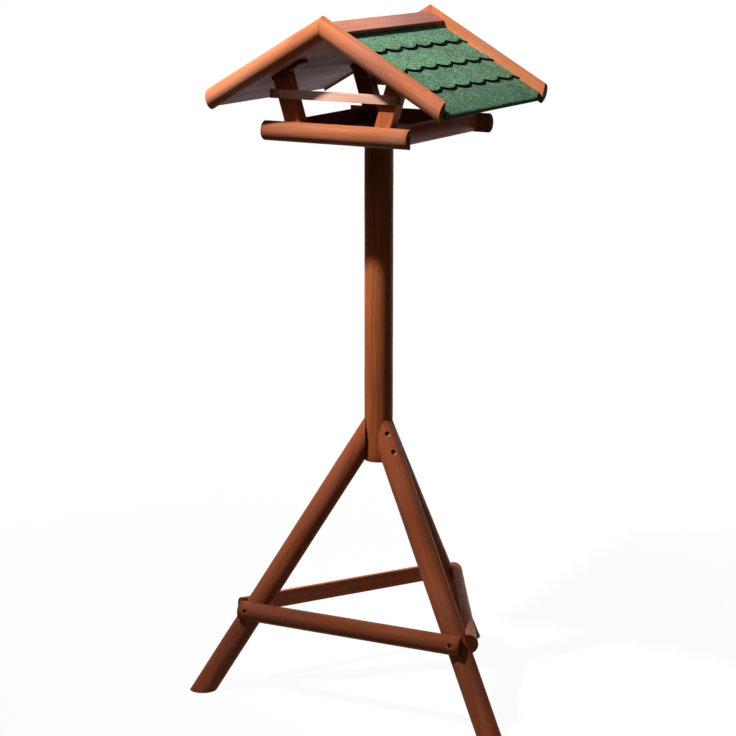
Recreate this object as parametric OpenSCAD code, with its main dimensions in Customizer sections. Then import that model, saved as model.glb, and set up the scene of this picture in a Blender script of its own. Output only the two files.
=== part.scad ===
// Bird feeder on a three-legged log stand: an open gabled house over a railed tray.
// Millimetres, +Z up. The origin is on the ground at the middle of the whole outline.
// The ridge runs along Y, the tray's long rails run along X, and -Y is the front.

/* [Post] */
// Diameter of the upright post
post_d = 50; // [41:1:62]
// Length of the post below the point where the legs' axes meet it
post_drop = 38; // [30:0.5:48]
// Height of the underside of the tray above the ground
tray_z = 992; // [825:1:1200]

/* [Legs] */
// Diameter of the three leg logs
leg_d = 41; // [34:1:50]
// Lean of each leg from upright, in degrees
leg_tilt = 32; // [26:1:39]
// Distance from the post's axis to the middle of each foot
foot_r = 314; // [255:1:380]
// Direction of the left leg round the post, in degrees from +X
left_leg_dir = 211.5; // [170:0.5:260]
// Angle from the left leg to each of the other two, in degrees
leg_spread = 125.5; // [104:0.5:151]
// Depth of the flats planed where a log is screwed to another piece
seat_depth = 1; // [0.5:0.5:2]

/* [Braces] */
// Height of the braces' middle line above the ground
brace_z = 147; // [110:1:200]
// Width of the half-round braces across the flat side
brace_w = 34; // [28:1:42]
// Thickness of the half-round braces
brace_t = 16; // [12:1:20]
// Length that each brace runs past the middle of the leg that it crosses
brace_end = 15; // [11:1:20]

/* [Tray] */
// Inside width of the tray, across the ridge
tray_w = 205; // [170:1:250]
// Inside length of the tray, along the ridge
tray_l = 280; // [230:1:340]
// Thickness of the tray's floor
floor_t = 10; // [8:1:15]
// Height of the tray's half-round rails
rail_h = 34; // [28:1:42]
// Thickness of the tray's half-round rails
rail_t = 16; // [12:1:20]
// Length that the front and back rails run past the side rails
rail_end = 20; // [5:1:30]

/* [Roof supports] */
// Width of each support, square to its length
support_w = 28.6; // [24:0.2:34]
// Depth of each support, along the ridge
support_d = 24; // [18:1:30]
// Outward lean of the supports, in degrees
support_lean = 17.5; // [10:0.5:22]
// Gap between the foot of each support and the side rail
support_gap = 9.5; // [2:0.5:20]

/* [Cross boards] */
// Height of the supports' outer top corners above the cross boards
board_drop = 12.7; // [8:0.1:20]
// Height of the cross boards
board_h = 15; // [12:1:18]
// Thickness of the cross boards
board_t = 8; // [6:1:12]
// Length that the front cross board runs past the middle of the supports
board_end = 24; // [20:1:30]
// Length that the back cross board runs past the middle of the supports
board_back_end = 12; // [8:1:15]

/* [Roof] */
// Height of the verge rails' peak above the underside of the tray
house_h = 212; // [175:1:260]
// Pitch of the roof, in degrees
roof_pitch = 29.5; // [24:0.5:36]
// Length of the roof panels along the ridge, between the verge rails
roof_l = 360; // [300:1:440]
// Length of each roof panel from the peak down the slope
panel_s = 264; // [218:1:320]
// Thickness of the roof panels
panel_t = 9; // [6:1:12]
// Width of the half-round verge rails, square to the slope
verge_w = 34; // [28:1:42]
// Thickness of the half-round verge rails
verge_t = 16; // [12:1:20]
// Length that the verge rails' top edge stops short of the panel's lower edge
verge_short = 7; // [0:1:20]
// Lean of the verge rails' lower end cuts from plumb, in degrees
verge_cut = 12; // [0:1:24]
// Height of the verge rails above the shingles, square to the slope
verge_proud = 17.5; // [14:0.5:22]
// Width of each ridge board down the slope
ridge_w = 32; // [25:1:45]
// Thickness of the ridge boards
ridge_t = 8; // [6:1:12]

/* [Shingle courses] */
// Exposed length of the courses between the first and the lowest
course_s = 58; // [45:0.5:72]
// Exposed length of the lowest course
course_last_s = 63.5; // [50:0.5:78]
// Length that the lowest course hangs past the roof panel
course_drip = 6; // [2:1:10]
// Thickness of the felt on the panel
felt_t = 4; // [3:0.5:6]
// Thickness of the upper edge of each course below the first
felt_thin_t = 1.5; // [1:0.5:2.5]

/* [Cleats] */
// Length of the cleats under the roof panels
cleat_s = 64; // [50:1:80]
// Thickness of the cleats
cleat_t = 8; // [6:1:12]
// Length that a cleat runs past the outer corner of its support
cleat_low = 1.5; // [0:0.5:5]

/* [Screws] */
// Diameter of the screws' shanks
screw_d = 4.5; // [3:0.5:6]
// Diameter of the screws' heads and of their recesses
screw_head_d = 8.5; // [7:0.5:11]
// Thickness of the screws' heads
screw_head_t = 3; // [2:0.5:4]
// Depth of the head's top in the logs and braces
screw_sink = 3; // [1:0.5:5]
// Height of each leg's upper screw above the point where the leg's axis meets the post
leg_screw_up = 16; // [10:1:20]
// Depth of each leg's lower screw below the same point
leg_screw_down = 13; // [5:1:16]
// Sideways offset of the leg screws from the middle of the leg
leg_screw_side = 8; // [6:1:10]
// Length of a screw inside the second of the pieces that it joins
screw_grip = 14; // [8:1:17]

/* [Hidden] */
$fn = 96;

LEFT = -1;
RIGHT = 1;
FRONT = -1;
BACK = 1;

stain = "#a5552f";
stain_dark = "#7d3d22";
stain_ridge = "#b4685a";
panel_grey = "#75635f";
felt_green = "#4f7f5c";
screw_grey = "#9a9a96";

// Legs: their directions round the post, and the point where each axis meets the post's flat
right_leg_dir = left_leg_dir + leg_spread;
back_leg_dir = left_leg_dir - leg_spread;
leg_dirs = [left_leg_dir, right_leg_dir, back_leg_dir];
leg_r = leg_d / 2;
foot_half = leg_r / cos(leg_tilt);
post_seat_r = post_d / 2 - seat_depth;
leg_top_z = (foot_r - post_seat_r) / tan(leg_tilt);
leg_cut_half = leg_r / sin(leg_tilt);
post_foot_z = leg_top_z - post_drop;
leg_log_l = norm([foot_r, leg_top_z]) + 4 * leg_d;

// Braces: the distance of each leg's axis from the post's axis at their height
brace_r = foot_r - brace_z * tan(leg_tilt);
near_half = leg_spread / 2;
far_half = 180 - leg_spread;

// Tray
floor_top_z = tray_z + floor_t;
tray_half_w = tray_w / 2;
tray_half_l = tray_l / 2;
long_rail_l = tray_w + 2 * rail_t + 2 * rail_end;

// Roof: depths square to the slope, measured from the verge rails' top edge
peak_z = tray_z + house_h;
felt_n = verge_proud;
ridge_n = felt_n - ridge_t;
panel_n = felt_n + felt_t;
panel_under_n = panel_n + panel_t;
cleat_under_n = panel_under_n + cleat_t;
verge_s = panel_s - verge_short;
verge_cut_rise = tan(roof_pitch - verge_cut);

// Shingle courses, from the ridge down
course_count = 4;
course_end_s = panel_s + course_drip;
function course_low_s(i) = i == course_count ? course_end_s
    : course_end_s - course_last_s - (course_count - 1 - i) * course_s;

// Supports: half their level width, and their two side lines in the X-Z plane
support_half = support_w / cos(support_lean) / 2;
support_run = tan(support_lean);
function roof_under_z(x, n) = peak_z - n / cos(roof_pitch) - x * tan(roof_pitch);
support_x = tray_half_w - support_gap - support_half;
function support_line_x(x0, z) = x0 + (z - floor_top_z) * support_run;
function support_top_z(x0) =
    (roof_under_z(x0, cleat_under_n) + floor_top_z * tan(roof_pitch) * support_run)
    / (1 + tan(roof_pitch) * support_run);
support_in = support_x - support_half;
support_out = support_x + support_half;
support_in_top_z = support_top_z(support_in);
support_out_top_z = support_top_z(support_out);

// Cleats: their lower end, down the slope
cleat_low_s = (support_line_x(support_out, support_out_top_z) + cleat_under_n * sin(roof_pitch))
    / cos(roof_pitch) + cleat_low;

// Cross boards
board_mid_z = support_out_top_z - board_drop - board_h / 2;
board_screw_x = support_line_x(support_x, board_mid_z);

// Middle of the whole outline, seen from above
function foot_x(dir) = foot_r * cos(dir);
function foot_y(dir) = foot_r * sin(dir);
function foot_half_x(dir) = norm([foot_half * cos(dir), leg_r * sin(dir)]);
function foot_half_y(dir) = norm([foot_half * sin(dir), leg_r * cos(dir)]);
eave_x = course_end_s * cos(roof_pitch) - felt_n * sin(roof_pitch);
gable_y = roof_l / 2 + verge_t;
x_high = max(concat([eave_x], [for (dir = leg_dirs) foot_x(dir) + foot_half_x(dir)]));
x_low = min(concat([-eave_x], [for (dir = leg_dirs) foot_x(dir) - foot_half_x(dir)]));
y_high = max(concat([gable_y], [for (dir = leg_dirs) foot_y(dir) + foot_half_y(dir)]));
y_low = min(concat([-gable_y], [for (dir = leg_dirs) foot_y(dir) - foot_half_y(dir)]));

// From a frame on the post's axis to the part's frame
module placed() {
    translate([-(x_low + x_high) / 2, -(y_low + y_high) / 2, 0]) children();
}

module on_side(side) {
    if (side == LEFT) mirror([1, 0, 0]) children();
    else children();
}

module at_end(end) {
    if (end == FRONT) mirror([0, 1, 0]) children();
    else children();
}

// A sawn half-round along Y: flat at x = 0, curved towards +X, middle of the flat at z = 0
module half_round(l, w, t) {
    r = (w * w / 4 + t * t) / (2 * t);
    intersection() {
        translate([t - r, l / 2, 0]) rotate([90, 0, 0]) cylinder(r = r, h = l);
        translate([0, -l, -w / 2]) cube([t + 1, 2 * l, w]);
    }
}

// A screw along Z with the top of its head at z = 0; a recess adds the way in for its head
module screw(l, recess = 0) {
    translate([0, 0, -screw_head_t]) cylinder(d = screw_head_d, h = screw_head_t + recess);
    translate([0, 0, -l]) cylinder(d = screw_d, h = l - screw_head_t + 0.5);
}

// ---- Stand ----

// Outer surface of a leg's log, beside its middle by the screws' offset, at height z
function leg_face_r(z) = foot_r - z * tan(leg_tilt)
    + sqrt(leg_r * leg_r - leg_screw_side * leg_screw_side) / cos(leg_tilt);

module leg_screw_pair(dir, recess = 0) {
    for (z = [leg_top_z + leg_screw_up, leg_top_z - leg_screw_down]) {
        head_r = leg_face_r(z) - screw_sink;
        rotate([0, 0, dir]) translate([head_r, -leg_screw_side, z]) rotate([0, 90, 0])
            screw(head_r - post_seat_r + screw_grip, recess);
    }
}

// The frame of a brace: origin on the plane of two legs' axes, +X square out of that plane
module brace_frame(mid_dir, half) {
    rotate([0, 0, mid_dir]) translate([brace_r * cos(half), 0, brace_z])
        rotate([0, -atan(tan(leg_tilt) * cos(half)), 0]) children();
}

module brace_bar(mid_dir, half) {
    brace_frame(mid_dir, half) translate([leg_r - seat_depth, 0, 0])
        half_round(2 * (brace_r * sin(half) + brace_end), brace_w, brace_t);
}

module brace_screw_pair(mid_dir, half, recess = 0) {
    brace_frame(mid_dir, half)
        for (y = [-brace_r * sin(half), brace_r * sin(half)])
            translate([leg_r - seat_depth + brace_t - screw_sink, y, 0]) rotate([0, 90, 0])
                screw(brace_t - screw_sink + screw_grip, recess);
}

front_mid = left_leg_dir + near_half;
rear_mid = left_leg_dir - near_half;
side_mid = left_leg_dir + 180;

module brace(mid_dir, half) {
    color(stain_dark) placed() difference() {
        brace_bar(mid_dir, half);
        brace_screw_pair(mid_dir, half, leg_d);
    }
}

// The wedge that a leg has to itself, from the post's flat out to the planes half way to the
// legs on either side; half_a lies clockwise of it and half_b anticlockwise
module leg_room(half_a, half_b) {
    reach = foot_r + leg_d;
    linear_extrude(height = tray_z) polygon([
        [post_seat_r, -post_seat_r * tan(half_a)], [reach, -reach * tan(half_a)],
        [reach, reach * tan(half_b)], [post_seat_r, post_seat_r * tan(half_b)]
    ]);
}

// One leg with the flats and screw holes for its two braces, the clockwise one first
module leg(dir, mid_a, half_a, mid_b, half_b) {
    color(stain_dark) placed() difference() {
        rotate([0, 0, dir]) intersection() {
            translate([foot_r, 0, 0]) rotate([0, -leg_tilt, 0]) translate([0, 0, -2 * leg_d])
                cylinder(d = leg_d, h = leg_log_l);
            leg_room(half_a, half_b);
        }
        brace_bar(mid_a, half_a);
        brace_bar(mid_b, half_b);
        brace_screw_pair(mid_a, half_a, leg_d);
        brace_screw_pair(mid_b, half_b, leg_d);
        leg_screw_pair(dir, leg_d);
    }
}

module leg_left() { leg(left_leg_dir, rear_mid, near_half, front_mid, near_half); }
module leg_right() { leg(right_leg_dir, front_mid, near_half, side_mid, far_half); }
module leg_back() { leg(back_leg_dir, side_mid, far_half, rear_mid, near_half); }
module brace_front() { brace(front_mid, near_half); }
module brace_rear() { brace(rear_mid, near_half); }
module brace_side() { brace(side_mid, far_half); }

// Upright post with a flat for each leg, from its foot to the top of the leg's cut face
module post() {
    flat_top_z = leg_top_z + leg_cut_half;
    color(stain) placed() difference() {
        translate([0, 0, post_foot_z]) cylinder(d = post_d, h = tray_z - post_foot_z);
        for (dir = leg_dirs) {
            rotate([0, 0, dir]) translate([post_seat_r, -post_d / 2, post_foot_z - 1])
                cube([post_d, post_d, flat_top_z - post_foot_z + 1]);
            leg_screw_pair(dir);
        }
    }
}

module leg_screws() {
    color(screw_grey) placed() for (dir = leg_dirs) leg_screw_pair(dir);
}

module brace_screws() {
    color(screw_grey) placed() {
        brace_screw_pair(front_mid, near_half);
        brace_screw_pair(rear_mid, near_half);
        brace_screw_pair(side_mid, far_half);
    }
}

// ---- Tray ----

module tray_floor() {
    color(stain_dark) placed() translate([-tray_half_w, -tray_half_l, tray_z])
        cube([tray_w, tray_l, floor_t]);
}

module tray_long_rail(end) {
    color(stain) placed() at_end(end) translate([0, tray_half_l, tray_z + rail_h / 2])
        rotate([0, 0, 90]) half_round(long_rail_l, rail_h, rail_t);
}

module tray_side_rail(side) {
    color(stain) placed() on_side(side) translate([tray_half_w, 0, tray_z + rail_h / 2])
        half_round(tray_l, rail_h, rail_t);
}

module tray_rail_front() { tray_long_rail(FRONT); }
module tray_rail_back() { tray_long_rail(BACK); }
module tray_rail_left() { tray_side_rail(LEFT); }
module tray_rail_right() { tray_side_rail(RIGHT); }

// ---- Supports and cross boards ----

// Solid of an outline in the X-Z plane that lies between two distances along +Y
module standing(points, y_near, y_far) {
    translate([0, y_far, 0]) rotate([90, 0, 0]) linear_extrude(height = y_far - y_near)
        polygon(points);
}

// One screw on each side, with its head flush with the face of the cross board
module board_screw_pair(end) {
    for (side = [LEFT, RIGHT])
        at_end(end) on_side(side)
            translate([board_screw_x, tray_half_l + board_t, board_mid_z]) rotate([-90, 0, 0])
                screw(board_t + screw_grip);
}

module support(end, side) {
    color(stain) placed() difference() {
        at_end(end) on_side(side) standing([
            [support_in, floor_top_z],
            [support_out, floor_top_z],
            [support_line_x(support_out, support_out_top_z), support_out_top_z],
            [support_line_x(support_in, support_in_top_z), support_in_top_z]
        ], tray_half_l - support_d, tray_half_l);
        board_screw_pair(end);
    }
}

module support_front_left() { support(FRONT, LEFT); }
module support_front_right() { support(FRONT, RIGHT); }
module support_back_left() { support(BACK, LEFT); }
module support_back_right() { support(BACK, RIGHT); }

module cross_board(end, past) {
    half = board_screw_x + past;
    color(stain) placed() difference() {
        at_end(end) translate([-half, tray_half_l, board_mid_z - board_h / 2])
            cube([2 * half, board_t, board_h]);
        board_screw_pair(end);
    }
}

module cross_board_front() { cross_board(FRONT, board_end); }
module cross_board_back() { cross_board(BACK, board_back_end); }

module board_screws() {
    color(screw_grey) placed() for (end = [FRONT, BACK]) board_screw_pair(end);
}

// ---- Roof ----

// The frame of the right-hand slope, mirrored for the left: +X runs down the slope from the
// verge rails' peak and +Z stands square to it
module on_slope(side) {
    on_side(side) translate([0, 0, peak_z]) rotate([0, roof_pitch, 0]) children();
}

// Place on the plumb plane of the ridge at a depth n square to the slope
function ridge_point(n) = [n * tan(roof_pitch), -n];

module slope_layer(side, points, l) {
    on_slope(side) standing(points, -l / 2, l / 2);
}

module roof_panel(side) {
    color(panel_grey) placed() slope_layer(side, [
        ridge_point(panel_n), ridge_point(panel_under_n),
        [panel_s, -panel_under_n], [panel_s, -panel_n]
    ], roof_l);
}

module roof_panel_left() { roof_panel(LEFT); }
module roof_panel_right() { roof_panel(RIGHT); }

module ridge_board(side) {
    low_s = ridge_point(ridge_n)[0] + ridge_w;
    color(stain_ridge) placed() slope_layer(side, [
        ridge_point(ridge_n), ridge_point(felt_n), [low_s, -felt_n], [low_s, -ridge_n]
    ], roof_l);
}

module ridge_board_left() { ridge_board(LEFT); }
module ridge_board_right() { ridge_board(RIGHT); }

// The first course is level with the slope up to the ridge; the others thin towards the top
module course(side, i) {
    top = i == 1
        ? [ridge_point(panel_n), ridge_point(felt_n)]
        : [[course_low_s(i - 1), -panel_n], [course_low_s(i - 1), -panel_n + felt_thin_t]];
    color(felt_green) placed() slope_layer(side, [
        top[0], top[1], [course_low_s(i), -felt_n], [course_low_s(i), -panel_n]
    ], roof_l);
}

module course_left_1() { course(LEFT, 1); }
module course_left_2() { course(LEFT, 2); }
module course_left_3() { course(LEFT, 3); }
module course_left_4() { course(LEFT, 4); }
module course_right_1() { course(RIGHT, 1); }
module course_right_2() { course(RIGHT, 2); }
module course_right_3() { course(RIGHT, 3); }
module course_right_4() { course(RIGHT, 4); }

module cleat(end, side) {
    y_far = tray_half_l;
    color(stain_dark) placed() at_end(end) on_slope(side) standing([
        [cleat_low_s - cleat_s, -panel_under_n], [cleat_low_s - cleat_s, -cleat_under_n],
        [cleat_low_s, -cleat_under_n], [cleat_low_s, -panel_under_n]
    ], y_far - support_d, y_far);
}

module cleat_front_left() { cleat(FRONT, LEFT); }
module cleat_front_right() { cleat(FRONT, RIGHT); }
module cleat_back_left() { cleat(BACK, LEFT); }
module cleat_back_right() { cleat(BACK, RIGHT); }

// A half-round rail on the gable, mitred at the peak
module verge_rail(end, side) {
    color(stain) placed() at_end(end) on_slope(side) intersection() {
        translate([verge_s / 2, roof_l / 2, -verge_w / 2]) rotate([0, 0, 90])
            half_round(2 * verge_s, verge_w, verge_t);
        standing([
            ridge_point(0), ridge_point(verge_w),
            [verge_s + verge_w * verge_cut_rise, -verge_w], [verge_s, 0]
        ], 0, roof_l);
    }
}

module verge_front_left() { verge_rail(FRONT, LEFT); }
module verge_front_right() { verge_rail(FRONT, RIGHT); }
module verge_back_left() { verge_rail(BACK, LEFT); }
module verge_back_right() { verge_rail(BACK, RIGHT); }

post();
leg_left();
leg_right();
leg_back();
brace_front();
brace_rear();
brace_side();
tray_floor();
tray_rail_front();
tray_rail_back();
tray_rail_left();
tray_rail_right();
support_front_left();
support_front_right();
support_back_left();
support_back_right();
cross_board_front();
cross_board_back();
cleat_front_left();
cleat_front_right();
cleat_back_left();
cleat_back_right();
roof_panel_left();
roof_panel_right();
verge_front_left();
verge_front_right();
verge_back_left();
verge_back_right();
ridge_board_left();
ridge_board_right();
course_left_1();
course_left_2();
course_left_3();
course_left_4();
course_right_1();
course_right_2();
course_right_3();
course_right_4();
leg_screws();
brace_screws();
board_screws();
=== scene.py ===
"""Looks of a bird feeder: a shingled gable house over a railed tray, on a braced tripod of logs.

Every timber is a length of pine with its own pith, so one solid pattern gives the figure on
its faces and the rings on its sawn ends. All sizes are in metres.
"""

from __future__ import annotations

import logging
import math
import zlib
from dataclasses import dataclass
from enum import Enum
from typing import Any, Iterator, Sequence

import bmesh
import bpy
import numpy as np
from mathutils import Matrix, Vector, noise

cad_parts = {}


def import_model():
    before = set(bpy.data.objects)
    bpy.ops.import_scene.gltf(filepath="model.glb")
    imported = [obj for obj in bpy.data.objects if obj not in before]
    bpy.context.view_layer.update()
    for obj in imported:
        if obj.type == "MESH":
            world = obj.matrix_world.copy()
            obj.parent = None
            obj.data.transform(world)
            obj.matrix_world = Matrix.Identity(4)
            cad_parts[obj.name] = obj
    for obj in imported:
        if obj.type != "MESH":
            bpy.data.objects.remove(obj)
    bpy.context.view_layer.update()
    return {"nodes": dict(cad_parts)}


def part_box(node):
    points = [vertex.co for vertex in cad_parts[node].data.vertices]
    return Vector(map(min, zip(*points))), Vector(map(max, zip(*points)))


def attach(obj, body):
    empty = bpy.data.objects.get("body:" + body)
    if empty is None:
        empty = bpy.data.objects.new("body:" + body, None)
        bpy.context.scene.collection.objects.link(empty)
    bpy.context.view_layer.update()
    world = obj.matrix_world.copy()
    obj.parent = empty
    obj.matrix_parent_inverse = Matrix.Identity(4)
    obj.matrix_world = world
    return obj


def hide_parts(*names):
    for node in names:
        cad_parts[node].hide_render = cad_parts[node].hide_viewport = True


LOG = logging.getLogger("bird_feeder")
MM = 0.001
WELD = 1e-6
NEARLY_FLAT = 0.004
BODY = "root"
Colour = tuple[float, float, float]
Place = tuple[float, float, float]
Marks = dict[str, tuple[str, str, list[float]]]
Socket = bpy.types.NodeSocket
Material = bpy.types.Material


class Side(Enum):
    """Which slope of the roof, as the sign of X."""

    LEFT = -1
    RIGHT = 1

    @property
    def word(self) -> str:
        """The side's name as the nodes spell it."""
        return self.name.lower()


class Cut(Enum):
    """How a timber was cut from the tree."""

    ROUND = "round log"
    HALF = "half-round"
    BOARD = "board"


class Slot(Enum):
    """The record's material slots."""

    LOG = "stained_log"
    BATTEN = "stained_batten"
    TRAY = "tray_board"
    PANEL = "roof_panel"
    RIDGE = "ridge_board"
    FELT = "shingle_felt"
    STEEL = "screw_steel"


def dice(name: str) -> np.random.Generator:
    """Returns the random numbers that belong to a piece, the same on every run."""
    return np.random.default_rng(zlib.crc32(name.encode()))


def scaled(colour: Colour, by: float) -> Colour:
    """Returns a colour times a number."""
    return (colour[0] * by, colour[1] * by, colour[2] * by)


# ---------------------------------------------------------------- finishes


class Graph:
    """A material's node tree, with short calls for the nodes that the finishes share."""

    def __init__(self, name: str) -> None:
        """Starts an empty tree.

        Args:
            name: The material's name.
        """
        self.material = bpy.data.materials.new(name)
        self.material.use_nodes = True
        self.tree = self.material.node_tree
        self.tree.nodes.clear()

    def node(self, kind: str, **settings: Any) -> bpy.types.Node:
        """Adds a node.

        Args:
            kind: The node's type, without its ShaderNode prefix.
            settings: Properties to set on it.

        Returns:
            The new node.
        """
        made = self.tree.nodes.new("ShaderNode" + kind)
        for key, value in settings.items():
            setattr(made, key, value)
        return made

    def feed(self, target: Socket, value: Any) -> None:
        """Links a socket to an input, or sets the input to a plain value.

        Args:
            target: The input.
            value: A socket, a number, a colour or a vector.
        """
        if isinstance(value, bpy.types.NodeSocket):
            self.tree.links.new(value, target)
        elif target.type == "RGBA":
            target.default_value = (*value[:3], 1.0)
        else:
            target.default_value = value

    def read(self, name: str) -> Socket:
        """Returns a number kept on the mesh."""
        return self.node("Attribute", attribute_name=name).outputs["Fac"]

    def place(self, name: str = "") -> Socket:
        """Looks up where a point of the surface is.

        Args:
            name: The mesh's record to read, or nothing for the object's own coordinates.

        Returns:
            The place.
        """
        if name:
            return self.node("Attribute", attribute_name=name).outputs["Vector"]
        return self.node("TexCoord").outputs["Object"]

    def math(self, operation: str, a: Any, b: Any = 0.0, c: Any = 0.0) -> Socket:
        """Adds a Math node.

        Args:
            operation: What it works out.
            a: The first number.
            b: The second number.
            c: The third number.

        Returns:
            The result.
        """
        made = self.node("Math", operation=operation)
        for target, value in zip(made.inputs, (a, b, c)):
            self.feed(target, value)
        return made.outputs[0]

    def vector(self, operation: str, a: Any, b: Any) -> bpy.types.Node:
        """Adds a Vector Math node.

        Args:
            operation: What it works out.
            a: The first vector.
            b: The second vector.

        Returns:
            The node.
        """
        made = self.node("VectorMath", operation=operation)
        self.feed(made.inputs[0], a)
        self.feed(made.inputs[1], b)
        return made

    def shade(self, colour: Any, by: Any) -> Socket:
        """Multiplies a colour by a number.

        Args:
            colour: The colour.
            by: The number.

        Returns:
            The lighter or darker colour.
        """
        made = self.node("VectorMath", operation="SCALE")
        self.feed(made.inputs[0], colour)
        self.feed(made.inputs["Scale"], by)
        return made.outputs[0]

    def noise(self, place: Socket, scale: tuple[float, float, float], detail: float = 2.0,
              rough: float = 0.5) -> bpy.types.Node:
        """Adds a Noise node with its own scale along each axis.

        Args:
            place: Where to look the noise up.
            scale: The scale along each axis, per metre.
            detail: The number of finer layers.
            rough: How strong the finer layers are.

        Returns:
            The node.
        """
        made = self.node("TexNoise")
        self.feed(made.inputs["Vector"], self.vector("MULTIPLY", place, scale).outputs[0])
        self.feed(made.inputs["Scale"], 1.0)
        self.feed(made.inputs["Detail"], detail)
        self.feed(made.inputs["Roughness"], rough)
        return made

    def span(self, value: Any, low: float, high: float, to_low: float = 0.0,
             to_high: float = 1.0) -> Socket:
        """Eases a value from one range to another and holds it inside.

        Args:
            value: The value.
            low: Where the first range starts.
            high: Where it ends.
            to_low: Where the second range starts.
            to_high: Where it ends.

        Returns:
            The eased value.
        """
        made = self.node("MapRange", interpolation_type="SMOOTHSTEP")
        for target, number in zip(made.inputs, (value, low, high, to_low, to_high)):
            self.feed(target, number)
        return made.outputs[0]

    def mix(self, share: Any, a: Any, b: Any) -> Socket:
        """Mixes two colours.

        Args:
            share: How much of the second colour there is, from 0 to 1.
            a: The first colour.
            b: The second colour.

        Returns:
            The mixed colour.
        """
        made = self.node("Mix", data_type="RGBA", clamp_factor=True)
        for target, value in ((made.inputs[0], share), (made.inputs[6], a), (made.inputs[7], b)):
            self.feed(target, value)
        return made.outputs[2]

    def ramp(self, value: Socket, stops: Sequence[tuple[float, Any]]) -> Socket:
        """Looks a value up along a colour ramp.

        Args:
            value: The value, from 0 to 1.
            stops: Each stop's place and its colour, or one number for a grey.

        Returns:
            The colour found.
        """
        made = self.node("ValToRGB")
        band = made.color_ramp
        while len(band.elements) < len(stops):
            band.elements.new(0.5)
        for element, (at, shade) in zip(band.elements, stops):
            element.position = at
            colour = shade if isinstance(shade, tuple) else (shade, shade, shade)
            element.color = (*colour, 1.0)
        self.feed(made.inputs[0], value)
        return made.outputs[0]

    def finish(self, colour: Any, roughness: Any, height: Any, relief: float,
               **constants: Any) -> Material:
        """Adds the surface shader.

        Args:
            colour: The base colour.
            roughness: The roughness.
            height: The relief's height, about 0 to 1.
            relief: The depth of that relief, in metres.
            constants: Other inputs of the shader by name, with _ for a space.

        Returns:
            The finished material.
        """
        shader = self.node("BsdfPrincipled")
        self.feed(shader.inputs["Base Color"], colour)
        self.feed(shader.inputs["Roughness"], roughness)
        for name, value in constants.items():
            self.feed(shader.inputs[name.replace("_", " ")], value)
        bump = self.node("Bump")
        self.feed(bump.inputs["Strength"], 1.0)
        self.feed(bump.inputs["Distance"], relief)
        self.feed(bump.inputs["Height"], height)
        self.feed(shader.inputs["Normal"], bump.outputs[0])
        self.feed(self.node("OutputMaterial").inputs[0], shader.outputs[0])
        return self.material


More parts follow.
